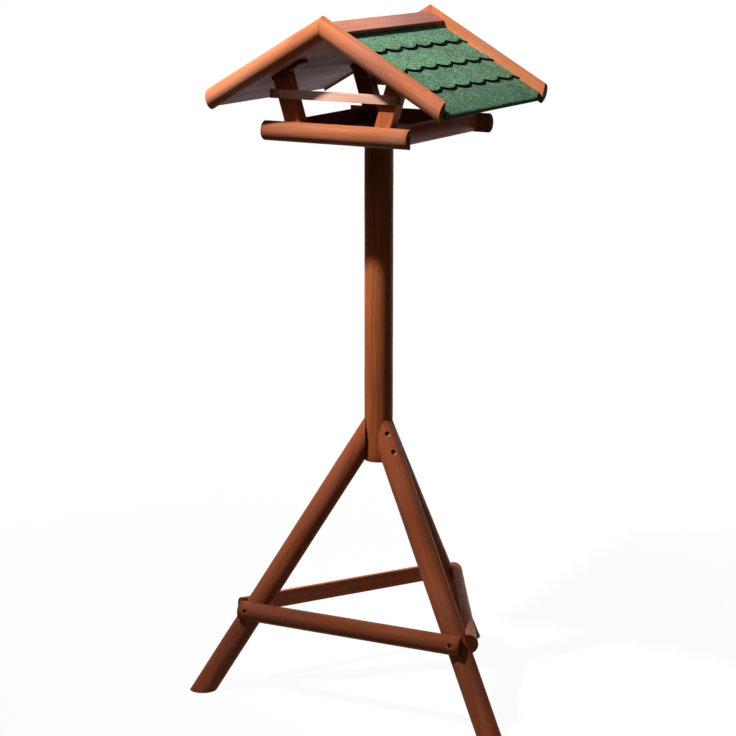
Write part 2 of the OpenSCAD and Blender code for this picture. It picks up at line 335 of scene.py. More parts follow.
@dataclass(frozen=True)
class StainedPine:
    """Pine under a translucent stain, as one solid pattern round each timber's pith."""

    name: str
    pale: Colour
    deep: Colour
    ring_gap: float = 3.4 * MM
    ring_depth: float = 0.62
    knots: float = 0.16
    knot_core: tuple[float, float] = (0.028, 0.060)
    roughness: float = 0.42
    relief: float = 0.30 * MM
    gloss: float = 0.02
    blush: Colour = (1.0, 1.10, 1.38)
    # Pale wood on the lower lips of screw recesses: partly stain come off, partly a painted
    # highlight.
    bare: Colour = (0.66, 0.40, 0.22)
    drink: float = 0.6
    stain: Colour = (0.50, 0.40, 0.32)

    def knot_field(self, g: Graph, place: Socket) -> tuple[Socket, Socket]:
        """Lays knots here and there, round and along the timber.

        Args:
            g: The material's graph.
            place: The place in the timber, from its pith.

        Returns:
            How much of a knot's core there is, and how far the rings swell round it.
        """
        parts = g.node("SeparateXYZ")
        g.feed(parts.inputs[0], place)
        spot = g.node("CombineXYZ")
        turn = g.math("ARCTAN2", parts.outputs[1], parts.outputs[0])
        g.feed(spot.inputs[0], g.math("MULTIPLY", turn, 0.32))
        g.feed(spot.inputs[1], g.math("MULTIPLY", parts.outputs[2], 6.0))
        cells = g.node("TexVoronoi", voronoi_dimensions="2D")
        g.feed(cells.inputs["Vector"], spot.outputs[0])
        g.feed(cells.inputs["Scale"], 1.0)
        chance = g.node("SeparateColor")
        g.feed(chance.inputs[0], cells.outputs["Color"])
        none = g.math("MULTIPLY", g.math("GREATER_THAN", chance.outputs[0], self.knots), 9.0)
        knot = g.math("ADD", cells.outputs["Distance"], none)
        return g.span(knot, *self.knot_core, 1.0, 0.0), g.span(knot, 0.0, 0.30, 1.7, 0.0)

    def late_wood(self, g: Graph, place: Socket, swell: Socket) -> Socket:
        """Lays growth rings, bent by a slow wander along the timber.

        Args:
            g: The material's graph.
            place: The place in the timber, from its pith.
            swell: How far the rings swell round a knot.

        Returns:
            How much of the hard, dark late wood there is.
        """
        wander = g.noise(place, (16.0, 16.0, 2.6), 1.0).outputs["Color"]
        wander = g.vector("SUBTRACT", wander, (0.5, 0.5, 0.5)).outputs[0]
        wander = g.vector("MULTIPLY", wander, (0.016, 0.016, 0.0)).outputs[0]
        bent = g.vector("ADD", place, wander).outputs[0]
        bent = g.vector("MULTIPLY", bent, (1.0, 1.0, 0.0)).outputs[0]
        radius = g.vector("LENGTH", bent, (0.0, 0.0, 0.0)).outputs["Value"]
        count = g.math("MULTIPLY_ADD", radius, 1.0 / self.ring_gap, swell)
        late = g.ramp(g.math("FRACT", count),
                      [(0.0, 0.0), (0.42, 0.12), (0.76, 0.6), (0.92, 1.0), (1.0, 0.05)])
        year = g.node("TexNoise", noise_dimensions="1D")
        g.feed(year.inputs["W"], count)
        g.feed(year.inputs["Scale"], 0.6)
        return g.math("MULTIPLY", late, g.span(year.outputs[0], 0.3, 0.7, 0.4, 1.0))

    def material(self) -> Material:
        """Builds the node tree.

        Returns:
            The material.
        """
        g = Graph(self.name)
        place = g.place("grain")
        core, swell = self.knot_field(g, place)
        late = self.late_wood(g, place, swell)
        fibre = g.noise(place, (520.0, 520.0, 14.0), 3.0, 0.62).outputs[0]
        streak = g.noise(place, (150.0, 150.0, 5.0), 2.0).outputs[0]
        mottle = g.noise(place, (34.0, 34.0, 9.0), 3.0, 0.55).outputs[0]
        cloud = g.noise(place, (8.0, 8.0, 4.5), 1.0).outputs[0]
        tone = g.math("MULTIPLY_ADD", late, self.ring_depth, -0.10)
        tone = g.math("ADD", tone, g.span(fibre, 0.3, 0.7, 0.0, 0.22))
        tone = g.math("ADD", tone, g.span(streak, 0.35, 0.7, 0.0, 0.25))
        tone = g.math("ADD", tone, g.span(mottle, 0.32, 0.68, 0.0, 0.25))
        colour = g.mix(tone, self.pale, self.deep)
        # The piece's tone, given per piece, is painted light and shade; the cloud is the wood's
        # own.
        lift = g.math("MULTIPLY", g.span(cloud, 0.3, 0.7, 0.76, 1.16), g.read("tone"))
        colour = g.shade(colour, lift)
        # The stain has gone pinker in patches.
        apart = g.vector("ADD", place, (3.1, 1.7, 5.3)).outputs[0]
        patch = g.noise(apart, (26.0, 26.0, 7.0), 2.0).outputs[0]
        pink = g.vector("MULTIPLY", colour, self.blush).outputs[0]
        colour = g.mix(g.span(patch, 0.42, 0.62), colour, pink)
        colour = g.mix(core, colour, scaled(self.deep, 0.30))
        # Wood near a sawn end drinks more stain; rubbed arrises keep less.
        # On the cross boards the darkened ends run far: partly soaked stain, partly painted shadow.
        soaked = [share * part for share, part in zip(self.deep, self.stain)]
        colour = g.mix(g.math("MULTIPLY", g.read("soak"), self.drink), colour, soaked)
        end = g.read("end_grain")
        sawn = g.shade(g.mix(late, scaled(self.deep, 0.85), scaled(self.deep, 0.42)), lift)
        colour = g.mix(end, colour, sawn)
        rub = g.math("MULTIPLY", g.read("arris"), g.span(mottle, 0.46, 0.60, 0.0, 0.5))
        colour = g.mix(rub, colour, scaled(self.pale, 1.3))
        # Pale lower lips of screw recesses: partly stain come off, partly a painted highlight where
        # light falls in.
        colour = g.mix(g.read("bare"), colour, self.bare)
        rough = g.span(mottle, 0.3, 0.7, self.roughness - 0.05, self.roughness + 0.10)
        rough = g.math("MULTIPLY_ADD", end, 0.25, rough)
        height = g.math("MULTIPLY_ADD", late, -0.35, g.math("MULTIPLY", fibre, 0.8))
        height = g.math("MULTIPLY_ADD", core, 0.5, height)
        return g.finish(colour, rough, height, self.relief, Specular_IOR_Level=self.gloss)


@dataclass(frozen=True)
class PanelBoard:
    """Thin board under the shingles: a coat painted near-white pink as light, grey-mauve in shade,
    over a faint, wide figure.
    """

    name: str
    wash: Colour
    streak: Colour
    drink: float = 0.85
    stain: Colour = (0.40, 0.32, 0.32)
    end_share: float = 0.04
    relief: float = 0.15 * MM
    gloss: float = 0.03

    def material(self) -> Material:
        """Builds the node tree.

        Returns:
            The material.
        """
        g = Graph(self.name)
        place = g.place("grain")
        figure = g.noise(place, (60.0, 60.0, 3.5), 3.0, 0.6).outputs[0]
        fibre = g.noise(place, (520.0, 520.0, 12.0), 2.0, 0.6).outputs[0]
        cloud = g.noise(place, (7.0, 7.0, 7.0), 2.0).outputs[0]
        wide, fine = g.span(figure, 0.38, 0.66, 0.0, 0.7), g.span(fibre, 0.35, 0.7, 0.0, 0.3)
        colour = g.mix(g.math("ADD", wide, fine), self.wash, self.streak)
        colour = g.shade(colour, g.span(cloud, 0.3, 0.7, 0.86, 1.08))
        # Darker towards the panel's ends, by the verges: painted shade.
        soaked = [share * part for share, part in zip(self.streak, self.stain)]
        colour = g.mix(g.math("MULTIPLY", g.read("soak"), self.drink), colour, soaked)
        # Every face but the underside is drawn near black: painted shade.
        end = g.read("end_grain")
        colour = g.mix(end, colour, scaled(self.streak, self.end_share))
        rough = g.math("MULTIPLY_ADD", end, 0.38, g.span(figure, 0.3, 0.7, 0.5, 0.62))
        return g.finish(colour, rough, fibre, self.relief, Specular_IOR_Level=self.gloss)


@dataclass(frozen=True)
class GreenFelt:
    """Bitumen felt under green slate granules, with black where it is cut."""

    name: str = "green_slate_felt"
    granule: float = 1.3 * MM
    bed: Colour = (0.040, 0.104, 0.056)
    slate: Colour = (0.140, 0.310, 0.178)
    fleck: Colour = (0.38, 0.58, 0.44)
    warm: Colour = (1.08, 0.98, 0.94)
    bitumen: Colour = (0.006, 0.016, 0.009)
    relief: float = 0.35 * MM
    gloss: float = 0.02

    def material(self) -> Material:
        """Builds the node tree.

        Returns:
            The material.
        """
        g = Graph(self.name)
        place = g.place()
        grains = g.node("TexVoronoi")
        g.feed(grains.inputs["Vector"], place)
        g.feed(grains.inputs["Scale"], 1.0 / self.granule)
        pick = g.node("SeparateColor")
        g.feed(pick.inputs[0], grains.outputs["Color"])
        colour = g.ramp(pick.outputs[0], [(0.0, self.bed), (0.22, scaled(self.slate, 0.62)),
                                          (0.45, self.slate), (0.80, scaled(self.slate, 1.3)),
                                          (0.90, self.fleck)])
        clump = g.noise(place, (230.0, 230.0, 230.0), 2.0, 0.6).outputs[0]
        patch = g.noise(place, (28.0, 28.0, 28.0), 3.0, 0.6).outputs[0]
        colour = g.shade(colour, g.span(clump, 0.32, 0.68, 0.70, 1.28))
        colour = g.shade(colour, g.span(patch, 0.3, 0.7, 0.84, 1.12))
        apart = g.vector("ADD", place, (2.3, 4.1, 0.7)).outputs[0]
        drift = g.noise(apart, (13.0, 13.0, 13.0), 3.0, 0.6).outputs[0]
        faded = g.vector("MULTIPLY", colour, self.warm).outputs[0]
        colour = g.mix(g.span(drift, 0.40, 0.62), colour, faded)
        # The course's tone is painted light and shade, brighter at the ridge and darker at the
        # eave.
        colour = g.shade(colour, g.read("tone"))
        colour = g.mix(g.read("felt_rim"), colour, self.bitumen)
        top = g.math("SUBTRACT", 1.0, grains.outputs["Distance"])
        height = g.math("MULTIPLY_ADD", clump, 0.8, top)
        rough = g.span(pick.outputs[1], 0.0, 1.0, 0.78, 0.95)
        return g.finish(colour, rough, height, self.relief, Specular_IOR_Level=self.gloss)


@dataclass(frozen=True)
class BronzedSteel:
    """Bronzed steel, dulled by the stain brushed over it."""

    name: str = "bronzed_steel"
    colour: Colour = (0.20, 0.062, 0.030)
    relief: float = 0.05 * MM
    metal: float = 0.1
    gloss: float = 0.06

    def material(self) -> Material:
        """Builds the node tree.

        Returns:
            The material.
        """
        g = Graph(self.name)
        place = g.place()
        dull = g.noise(place, (700.0, 700.0, 700.0), 3.0, 0.6).outputs[0]
        colour = g.mix(g.span(dull, 0.35, 0.7), self.colour, scaled(self.colour, 0.55))
        rough = g.span(dull, 0.3, 0.7, 0.40, 0.60)
        return g.finish(colour, rough, dull, self.relief, Metallic=self.metal,
                        Specular_IOR_Level=self.gloss)


class Finishes:
    """Every material of the feeder, made once."""

    def __init__(self) -> None:
        """Makes the materials."""
        # The log, rail and batten finishes are copies of one stain: paler for the brightly lit
        # rails and verges, deeper for the shaded legs, braces and supports. That difference is
        # painted light and shade.
        self.log = StainedPine("stained_pine_log", (0.68, 0.180, 0.072),
                               (0.41, 0.088, 0.031)).material()
        self.post = StainedPine("stained_pine_post", (0.66, 0.180, 0.058), (0.39, 0.086, 0.023),
                                blush=(1.0, 1.08, 1.22)).material()
        self.rail = StainedPine("stained_pine_rail", (0.76, 0.250, 0.112), (0.46, 0.125, 0.046),
                                knots=0.08).material()
        self.batten = StainedPine("stained_pine_batten", (0.66, 0.175, 0.055), (0.36, 0.080, 0.024),
                                  ring_gap=2.6 * MM, knots=0.05).material()
        # The cross boards' stain is painted pale: a painted highlight standing in for the strong
        # light on them.
        self.board = StainedPine("pale_pine_board", (0.96, 0.54, 0.385), (0.82, 0.38, 0.25),
                                 ring_gap=2.2 * MM, ring_depth=0.5, knots=0.0,
                                 blush=(1.0, 1.06, 1.12), drink=0.92,
                                 stain=(0.34, 0.20, 0.14)).material()
        self.ridge = StainedPine("ridge_pine_board", (0.76, 0.295, 0.190), (0.52, 0.170, 0.100),
                                 ring_gap=3.0 * MM, knots=0.06).material()
        # The tray floor is coloured near black: painted shade.
        self.tray = StainedPine("dark_tray_board", (0.13, 0.045, 0.022), (0.06, 0.020, 0.010),
                                ring_gap=4.0 * MM).material()
        # The panels' near-white colour is painted light, standing in for light they hardly get.
        self.panel = PanelBoard("washed_panel", (0.98, 0.71, 0.73), (0.78, 0.54, 0.55)).material()
        self.felt = GreenFelt().material()
        self.steel = BronzedSteel().material()
        self.stained_steel = BronzedSteel("stained_steel", (0.60, 0.31, 0.20)).material()


# ---------------------------------------------------------------- timbers


@dataclass(frozen=True)
class Lay:
    """How a timber lies: a point on its pith, and its directions across, out and along."""

    pith: Vector
    across: Vector
    out: Vector
    along: Vector

    def local(self, point: Vector) -> Vector:
        """Returns a point measured from the pith."""
        arm = point - self.pith
        return Vector((arm.dot(self.across), arm.dot(self.out), arm.dot(self.along)))


@dataclass
class Timber:
    """A length of wood worked from its CAD node: arrises eased, faces uneven, grain laid."""

    node: str
    cut: Cut
    dress: Material
    slot: Slot
    ease: float = 0.9 * MM
    ring_step: float = 14 * MM
    unevenness: float = 0.45 * MM
    pith_off: float = 5 * MM
    soaked: float = 9 * MM
    # If set, every face but those facing down is drawn as end grain, near black on the panels:
    # painted shade.
    washed_below: bool = False
    # Tone scales the piece's colour; the pieces' values are painted light and shade.
    tone: float = 1.0
    bores: Sequence[tuple[Vector, Vector]] = ()
    arris_angle: float = 0.5
    slow_wave: tuple[float, float] = (45.0, 13.0)
    quick_wave: tuple[float, float] = (160.0, 55.0)
    under_cosine: float = -0.7
    end_cosine: float = 0.75
    lip: tuple[float, float] = (4.0 * MM, 5.3 * MM)
    lip_rise: float = 1.6 * MM
    lip_kept: float = 0.25

    def lay(self, bm: bmesh.types.BMesh) -> Lay:
        """Finds how the timber lies from its own shape.

        Args:
            bm: The clean mesh of the node.

        Returns:
            The pith and the three directions.
        """
        points = np.array([v.co for v in bm.verts])
        bounds = points.min(axis=0), points.max(axis=0)
        middle = (bounds[0] + bounds[1]) / 2
        along = Vector(np.linalg.svd(points - points.mean(axis=0), full_matrices=False)[2][0])
        along *= -1 if along.z + 0.1 * along.y < 0 else 1
        if self.cut is Cut.ROUND:
            out = along.orthogonal().normalized()
        else:
            widest = max(bm.faces, key=lambda face: face.calc_area())
            out = widest.normal.copy()
        across = along.cross(out).normalized()
        out = across.cross(along).normalized()
        rng = dice(self.node)
        spans = [points @ np.array(way) for way in (across, out)]
        mids = [(span.min() + span.max()) / 2 for span in spans]
        if self.cut is Cut.ROUND:
            turn = rng.uniform(0, math.tau)
            mids[0] += self.pith_off * math.cos(turn)
            mids[1] += self.pith_off * math.sin(turn)
        else:
            mids[0] += rng.uniform(-0.4, 0.4) * self.pith_off
            mids[1] = spans[1].max() + self.pith_off
        pith = across * mids[0] + out * mids[1] + along * Vector(middle).dot(along)
        return Lay(pith, across, out, along)

    def ease_arrises(self, bm: bmesh.types.BMesh) -> None:
        """Rounds every sharp edge a little and marks the rounding.

        Args:
            bm: The mesh.
        """
        worn = bm.faces.layers.int.new("worn")
        sharp = [edge for edge in bm.edges
                 if len(edge.link_faces) == 2 and edge.calc_face_angle(0.0) > self.arris_angle]
        made = bmesh.ops.bevel(bm, geom=sharp, offset=self.ease, offset_type="OFFSET", segments=2,
                               profile=0.5, affect="EDGES", clamp_overlap=True)
        for face in made["faces"]:
            face[worn] = 1

    def cut_rings(self, bm: bmesh.types.BMesh, lay: Lay) -> tuple[float, float]:
        """Cuts the faces square across the timber, so that they can be uneven.

        Args:
            bm: The mesh.
            lay: How the timber lies.

        Returns:
            Where the timber starts and ends along its pith.
        """
        runs = [lay.local(v.co).z for v in bm.verts]
        low, high = min(runs), max(runs)
        count = int((high - low) / self.ring_step)
        for i in range(1, count):
            at = lay.pith + lay.along * (low + (high - low) * i / count)
            geometry = bm.verts[:] + bm.edges[:] + bm.faces[:]
            bmesh.ops.bisect_plane(bm, geom=geometry, dist=2 * WELD, plane_co=at,
                                   plane_no=lay.along)
        return low, high

    def wear(self, bm: bmesh.types.BMesh, lay: Lay) -> None:
        """Sinks the faces by a slow, uneven amount, and never past the timber's own box.

        Args:
            bm: The mesh.
            lay: How the timber lies.
        """
        bm.normal_update()
        shift = Vector(dice(self.node).uniform(-50, 50, 3))
        moves = []
        for vertex in bm.verts:
            spot = lay.local(vertex.co)
            wide, far = self.slow_wave
            slow = noise.noise(Vector((spot.x * wide, spot.y * wide, spot.z * far)) + shift)
            wide, far = self.quick_wave
            quick = noise.noise(Vector((spot.x * wide, spot.y * wide, spot.z * far)) - shift)
            moves.append(-self.unevenness * (0.5 + 0.42 * slow + 0.22 * quick))
        spots = np.array([v.co for v in bm.verts])
        low, high = spots.min(axis=0), spots.max(axis=0)
        for vertex, move in zip(bm.verts, moves):
            vertex.co = Vector(np.clip(vertex.co + vertex.normal * move, low, high))

    def marks(self, bm: bmesh.types.BMesh, lay: Lay, ends: tuple[float, float]) -> Marks:
        """Works out what the finish reads from the mesh.

        Args:
            bm: The mesh, cut into rings but not yet worn.
            lay: How the timber lies.
            ends: Where it starts and ends along its pith.

        Returns:
            Each attribute's type, domain and values by name.
        """
        rng = dice(self.node)
        start = 0.37 * int(rng.integers(1, 90))
        places: list[float] = []
        soak: list[float] = []
        for vertex in bm.verts:
            spot = lay.local(vertex.co)
            places += (spot.x, spot.y, spot.z + start)
            gap = min(spot.z - ends[0], ends[1] - spot.z)
            soak.append(max(0.0, 1.0 - gap / self.soaked) ** 2)
        tone = [self.tone] * len(bm.verts)
        worn = bm.faces.layers.int["worn"]
        sawn, arris, bare = [], [], []
        for face in bm.faces:
            # Faces not facing down take the panels' painted shade.
            in_painted_shade = self.washed_below and face.normal.z > self.under_cosine
            end = abs(face.normal.dot(lay.along)) > self.end_cosine
            sawn.append(1.0 if in_painted_shade or end else 0.0)
            arris.append(float(face[worn]))
            bare.append(self.chipped(face, rng))
        return {"grain": ("FLOAT_VECTOR", "POINT", places), "soak": ("FLOAT", "POINT", soak),
                "tone": ("FLOAT", "POINT", tone),
                "end_grain": ("FLOAT", "FACE", sawn), "arris": ("FLOAT", "FACE", arris),
                "bare": ("FLOAT", "FACE", bare)}

    def chipped(self, face: bmesh.types.BMFace, rng: np.random.Generator) -> float:
        """Finds pale faces on a screw recess's lower lip: partly lost stain, partly painted
        highlight.

        Args:
            face: The face.
            rng: The timber's random numbers.

        Returns:
            1 where it is pale, and 0 elsewhere.
        """
        for head, axis in self.bores:
            arm = face.calc_center_median() - head
            rise = arm.dot(axis)
            reach = (arm - axis * rise).length
            if self.lip[0] < reach < self.lip[1] and rise > self.lip_rise and arm.z < 1 * MM:
                return 1.0 if rng.random() > self.lip_kept else 0.0
        return 0.0

    def build(self, nodes: dict[str, bpy.types.Object]) -> bpy.types.Object:
        """Makes the timber in the place of its CAD node.

        Args:
            nodes: The CAD nodes' objects by name.

        Returns:
            The new piece.
        """
        bm = bmesh.new()
        bm.from_mesh(nodes[self.node].data)
        bmesh.ops.remove_doubles(bm, verts=bm.verts, dist=WELD)
        bmesh.ops.dissolve_limit(bm, angle_limit=NEARLY_FLAT, verts=bm.verts, edges=bm.edges)
        lay = self.lay(bm)
        self.ease_arrises(bm)
        ends = self.cut_rings(bm, lay)
        bm.normal_update()
        marks = self.marks(bm, lay, ends)
        self.wear(bm, lay)
        name = self.node + "_timber"
        return piece(name, bm, self.dress, [self.node], marks, sharp_from=40)


def piece(name: str, bm: bmesh.types.BMesh, dress: Material,
          stands_for: Sequence[str], marks: Marks | None = None,
          sharp_from: float = 35) -> bpy.types.Object:
    """Turns a mesh in the making into a piece of the feeder.

    Args:
        name: The piece's name.
        bm: The mesh, which is freed.
        dress: Its material.
        stands_for: The CAD nodes that it replaces.
        marks: Attributes to write: each one's type, domain and values by name.
        sharp_from: The angle in degrees from which an edge is drawn sharp.

    Returns:
        The new object, riding on the one body.
    """
    mesh = bpy.data.meshes.new(name)
    bm.normal_update()
    bm.to_mesh(mesh)
    bm.free()
    mesh.materials.clear()
    mesh.materials.append(dress)
    mesh.polygons.foreach_set("material_index", [0] * len(mesh.polygons))
    for key, (kind, domain, values) in (marks or {}).items():
        layer = mesh.attributes.new(key, kind, domain)
        layer.data.foreach_set("vector" if kind == "FLOAT_VECTOR" else "value", values)
    mesh.shade_smooth()
    mesh.set_sharp_from_angle(angle=math.radians(sharp_from))
    made = bpy.data.objects.new(name, mesh)
    bpy.context.scene.collection.objects.link(made)
    weighted = made.modifiers.new("weighted", "WEIGHTED_NORMAL")
    weighted.keep_sharp = True
    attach(made, BODY)
    if stands_for:
        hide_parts(*stands_for)
    LOG.info("%s: %d faces", name, len(mesh.polygons))
    return made


# ---------------------------------------------------------------- metalwork


@dataclass
class ScrewSet:
    """Countersunk screws with a crossed slot, one for each solid of a CAD node."""

    node: str
    dress: Material
    head_r: float = 4.15 * MM
    flat_r: float = 3.4 * MM
    rounding: tuple[float, float] = (0.2 * MM, 0.12 * MM)
    rim_h: float = 0.5 * MM
    shank_r: float = 2.1 * MM
    shank_from: float = 3.2 * MM
    tip_r: float = 0.3 * MM
    tip_l: float = 1.5 * MM
    sunk: float = 0.05 * MM
    head_h: float = 2.9 * MM
    slot_r: float = 2.3 * MM
    slot_half: float = 0.62 * MM
    slot_deep: float = 1.7 * MM
    rim_segments: int = 32

    def places(self, nodes: dict[str, bpy.types.Object]) -> list[tuple[Vector, Vector, float]]:
        """Finds the screws in the CAD node.

        Args:
            nodes: The CAD nodes' objects by name.

        Returns:
            For each screw the middle of its head's top, the way it faces, and its length.
        """
        bm = bmesh.new()
        bm.from_mesh(nodes[self.node].data)
        bmesh.ops.remove_doubles(bm, verts=bm.verts, dist=WELD)
        left = set(bm.verts)
        found = []
        while left:
            grown = [left.pop()]
            for vertex in grown:
                for edge in vertex.link_edges:
                    other = edge.other_vert(vertex)
                    if other in left:
                        left.remove(other)
                        grown.append(other)
            found.append(self.measure(np.array([v.co for v in grown])))
        bm.free()
        return sorted(found, key=lambda screw: tuple(round(c, 4) for c in screw[0]))

    def measure(self, points: np.ndarray) -> tuple[Vector, Vector, float]:
        """Measures one screw.

        Args:
            points: The corners of its solid.

        Returns:
            The middle of the head's top, the way it faces and the screw's length.
        """
        arms = points - points.mean(axis=0)
        axis = np.linalg.svd(arms, full_matrices=False)[2][0]
        runs = arms @ axis
        reach = np.linalg.norm(arms - np.outer(runs, axis), axis=1)
        if runs[reach > self.shank_from].mean() <= 0:
            axis, runs = -axis, -runs
        top = points[runs > runs.max() - 10 * WELD].mean(axis=0)
        return Vector(top), Vector(axis), float(runs.max() - runs.min())

    def shape(self, bm: bmesh.types.BMesh, length: float, place: Matrix) -> None:
        """Adds one screw.

        Args:
            bm: The mesh to add to.
            length: From the head's top to the point.
            place: Where the screw stands, facing its own +Z.
        """
        inset, drop = self.rounding
        profile = [(self.flat_r, 0.0), (self.head_r - inset, -drop), (self.head_r, -self.rim_h),
                   (self.shank_r, -self.head_h), (self.shank_r, self.tip_l - length),
                   (self.tip_r, -length)]
        rings = [[bm.verts.new((r * math.cos(a), r * math.sin(a), z)) for a in
                  (math.tau * k / self.rim_segments for k in range(self.rim_segments))]
                 for r, z in profile]
        for upper, lower in zip(rings, rings[1:]):
            for k in range(self.rim_segments):
                j = (k + 1) % self.rim_segments
                bm.faces.new((upper[k], lower[k], lower[j], upper[j]))
        bm.faces.new(rings[-1][::-1])
        cross = [bm.verts.new((x, y, 0.0)) for x, y in
                 self.cross_outline(self.slot_r, self.slot_half)]
        floor = [bm.verts.new((x, y, -self.slot_deep)) for x, y in
                 self.cross_outline(self.slot_r * 0.5, self.slot_half * 0.7)]
        for k in range(len(cross)):
            j = (k + 1) % len(cross)
            bm.faces.new((cross[j], floor[j], floor[k], cross[k]))
        bm.faces.new(floor)
        bm.edges.ensure_lookup_table()
        rim = [bm.edges.get((ring[k], ring[(k + 1) % len(ring)])) for ring in (rings[0], cross)
               for k in range(len(ring))]
        bmesh.ops.triangle_fill(bm, edges=rim, use_beauty=True, normal=(0, 0, 1))
        verts = [v for ring in rings for v in ring] + cross + floor
        bmesh.ops.transform(bm, matrix=place, verts=verts)

    @staticmethod
    def cross_outline(reach: float, half: float) -> Iterator[tuple[float, float]]:
        """Draws a cross, anticlockwise.

        Args:
            reach: From its middle to the end of an arm.
            half: Half the width of an arm.

        Yields:
            Each of its twelve corners.
        """
        for quarter in range(4):
            turn = Matrix.Rotation(quarter * math.pi / 2, 2)
            for corner in ((reach, -half), (reach, half), (half, half)):
                yield tuple(turn @ Vector(corner))

    def build(self, nodes: dict[str, bpy.types.Object]) -> bpy.types.Object:
        """Makes the screws as one piece.

        Args:
            nodes: The CAD nodes' objects by name.

        Returns:
            The new piece.
        """
        bm = bmesh.new()
        rng = dice(self.node)
        for head, axis, length in self.places(nodes):
            turn = axis.to_track_quat("Z", "Y").to_matrix().to_4x4()
            spin = Matrix.Rotation(rng.uniform(0, math.pi), 4, "Z")
            self.shape(bm, length, Matrix.Translation(head - axis * self.sunk) @ turn @ spin)
        bmesh.ops.recalc_face_normals(bm, faces=bm.faces)
        return piece(self.node + "_bronzed", bm, self.dress, [self.node])


@dataclass
class NailSet:
    """Small round nail heads driven nearly flush."""

    name: str
    dress: Material
    head_r: float = 1.5 * MM
    proud: float = 0.25 * MM
    segments: int = 14
    outline: tuple[tuple[float, float], ...] = ((0.55, 1.0), (0.92, 0.8), (1.0, 0.3), (1.0, -2.0),
                                                (0.5, -2.4), (0.5, -14.0))

    def build(self, spots: Sequence[tuple[Vector, Vector]]) -> bpy.types.Object:
        """Makes the nails as one piece.

        Args:
            spots: Where each nail meets the wood and the way it faces.

        Returns:
            The new piece.
        """
        bm = bmesh.new()
        for spot, axis in spots:
            turn = Matrix.Translation(spot) @ axis.to_track_quat("Z", "Y").to_matrix().to_4x4()
            rings = []
            for r, z in self.outline:
                angles = (math.tau * k / self.segments for k in range(self.segments))
                rings.append([bm.verts.new(turn @ Vector((self.head_r * r * math.cos(a),
                                                          self.head_r * r * math.sin(a),
                                                          self.proud * z))) for a in angles])
            for upper, lower in zip(rings, rings[1:]):
                for k in range(self.segments):
                    j = (k + 1) % self.segments
                    bm.faces.new((upper[k], lower[k], lower[j], upper[j]))
            bm.faces.new(rings[0])
            bm.faces.new(rings[-1][::-1])
        return piece(self.name, bm, self.dress, [])


# ---------------------------------------------------------------- sub-assemblies


@dataclass
class Stand:
    """The post on its tripod of legs, tied by three half-round braces."""

    finishes: Finishes
    legs: tuple[str, ...] = ("leg_left", "leg_right", "leg_back")
    braces: tuple[str, ...] = ("brace_front", "brace_rear", "brace_side")
    # Darker legs and front brace and a brighter rear brace: painted light and shade.
    leg_tone: float = 0.82
    brace_tones: tuple[float, ...] = (0.68, 1.5, 0.95)
    post_ease: float = 1.6 * MM
    leg_ease: float = 1.1 * MM

    def build(self, nodes: dict[str, bpy.types.Object]) -> None:
        """Makes the post, legs, braces and their screws.

        Args:
            nodes: The CAD nodes' objects by name.
        """
        log = self.finishes.log
        leg_screws = ScrewSet("leg_screws", self.finishes.steel)
        brace_screws = ScrewSet("brace_screws", self.finishes.steel)
        leg_bores = [(head, axis) for head, axis, _ in leg_screws.places(nodes)]
        brace_bores = [(head, axis) for head, axis, _ in brace_screws.places(nodes)]
        Timber("post", Cut.ROUND, self.finishes.post, Slot.LOG, ease=self.post_ease).build(nodes)
        for name in self.legs:
            Timber(name, Cut.ROUND, log, Slot.LOG, ease=self.leg_ease, tone=self.leg_tone,
                   bores=leg_bores).build(nodes)
        for name, tone in zip(self.braces, self.brace_tones):
            Timber(name, Cut.HALF, log, Slot.LOG, ring_step=10 * MM, tone=tone,
                   bores=brace_bores).build(nodes)
        leg_screws.build(nodes)
        brace_screws.build(nodes)


@dataclass
class Tray:
    """The feeding tray: a floor coloured near black as painted shade, inside four half-round rails.
    """

    finishes: Finishes
    rails: tuple[str, ...] = ("tray_rail_front", "tray_rail_back", "tray_rail_left",
                              "tray_rail_right")
    # Darker rails, most of all the back and left ones seen in the tray's shade: painted shade.
    rail_tones: tuple[float, ...] = (0.68, 0.48, 0.48, 0.68)
    nail_sunk: float = 0.5 * MM

    def build(self, nodes: dict[str, bpy.types.Object]) -> None:
        """Makes the floor, the rails and the nails through the long rails.

        Args:
            nodes: The CAD nodes' objects by name.
        """
        Timber("tray_floor", Cut.BOARD, self.finishes.tray, Slot.TRAY,
               pith_off=60 * MM).build(nodes)
        for name, tone in zip(self.rails, self.rail_tones):
            Timber(name, Cut.HALF, self.finishes.rail, Slot.LOG, ring_step=8 * MM,
                   pith_off=3 * MM, tone=tone).build(nodes)
        spots = []
        for rail, way in (("tray_rail_front", -1.0), ("tray_rail_back", 1.0)):
            low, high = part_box(rail)
            face_y = (low.y if way < 0 else high.y) - way * self.nail_sunk
            for side_rail in ("tray_rail_left", "tray_rail_right"):
                side_low, side_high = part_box(side_rail)
                x = (side_low.x + side_high.x) / 2
                spots.append((Vector((x, face_y, (low.z + high.z) / 2)), Vector((0, way, 0))))
        NailSet("tray_nails", self.finishes.steel).build(spots)


